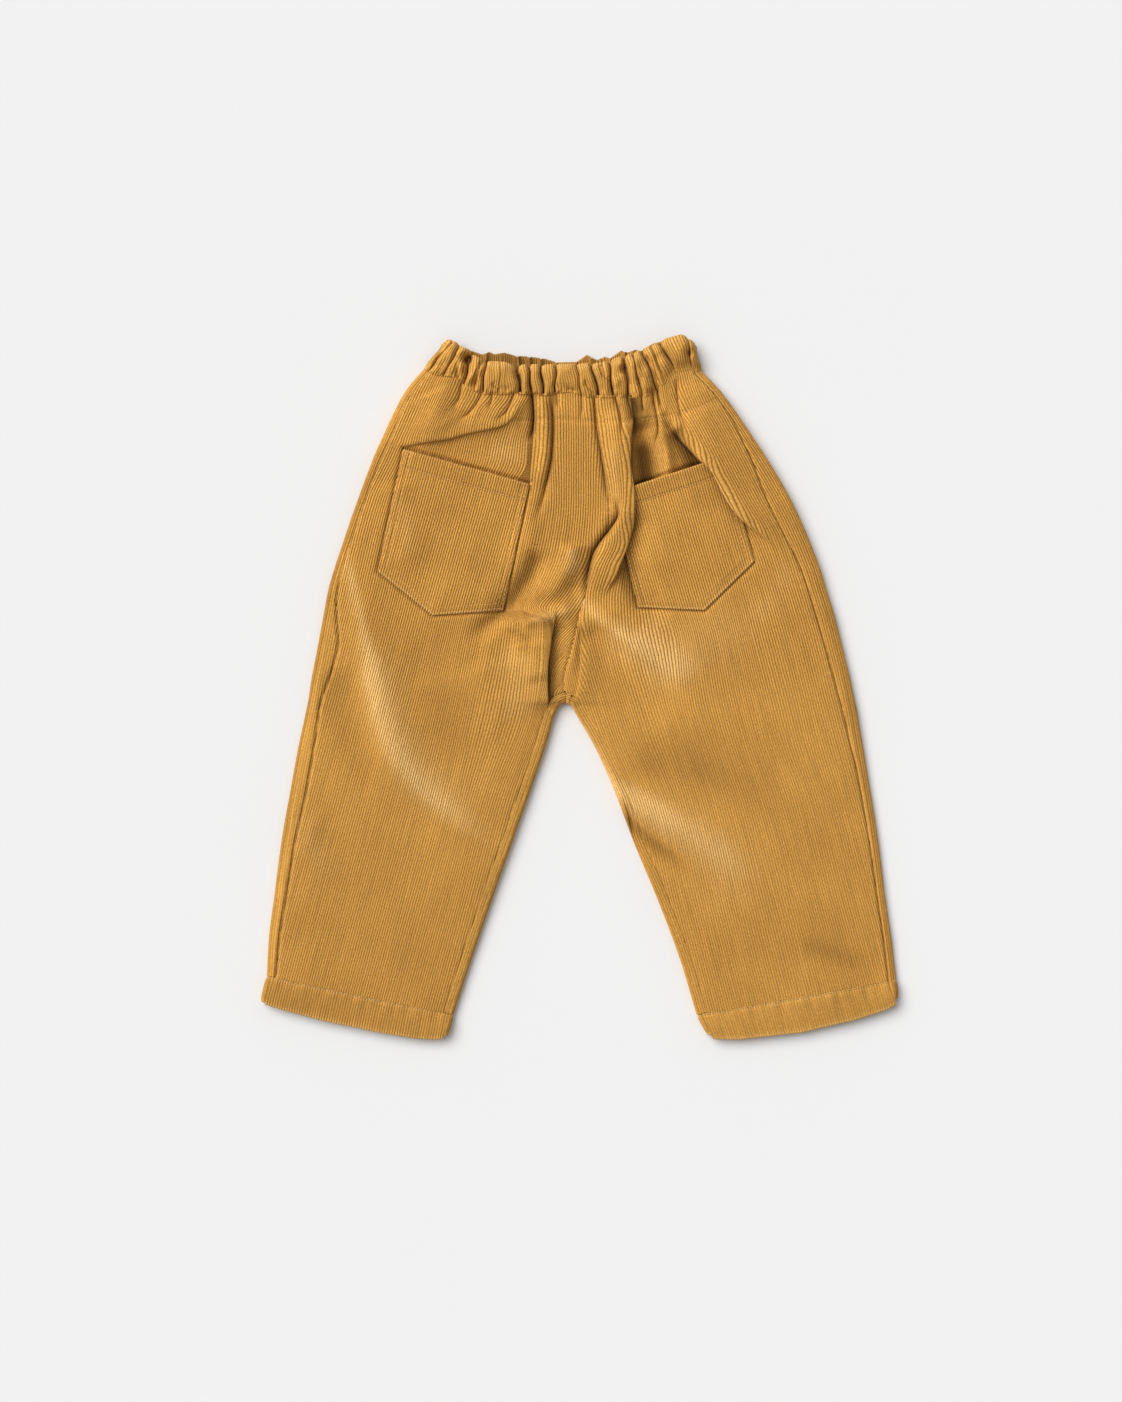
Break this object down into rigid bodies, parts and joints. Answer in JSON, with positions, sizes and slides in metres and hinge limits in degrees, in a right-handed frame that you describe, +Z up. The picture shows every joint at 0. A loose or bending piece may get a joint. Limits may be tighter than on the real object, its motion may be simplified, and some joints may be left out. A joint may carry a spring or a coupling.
{
  "type": "baby corduroy trousers",
  "caption": "Pull-on baby trousers in mustard fine corduroy, laid flat with the back up: gathered elastic waist, patch pockets, baggy seat, tapered legs with turned hems.",
  "frame": {"origin": "middle of the laid-out outline, on the surface that the trousers lie on", "axes": "+X to the wearer's right leg as seen from the back face, +Y from the hems to the waist, +Z up out of the back face"},
  "size_m": [0.4082, 0.4452, 0.0176],
  "materials": {
    "corduroy": "mustard-yellow fine corduroy, about 16 ribs to the inch, with a soft cut pile and matching thread"
  },
  "bodies": {
    "root": {"back_left": "corduroy", "back_right": "corduroy", "front_left": "corduroy", "front_right": "corduroy", "waistband_back": "corduroy", "waistband_front": "corduroy", "pocket_left": "corduroy", "pocket_right": "corduroy", "hem_left": "corduroy", "hem_right": "corduroy"}
  },
  "joints": []
}
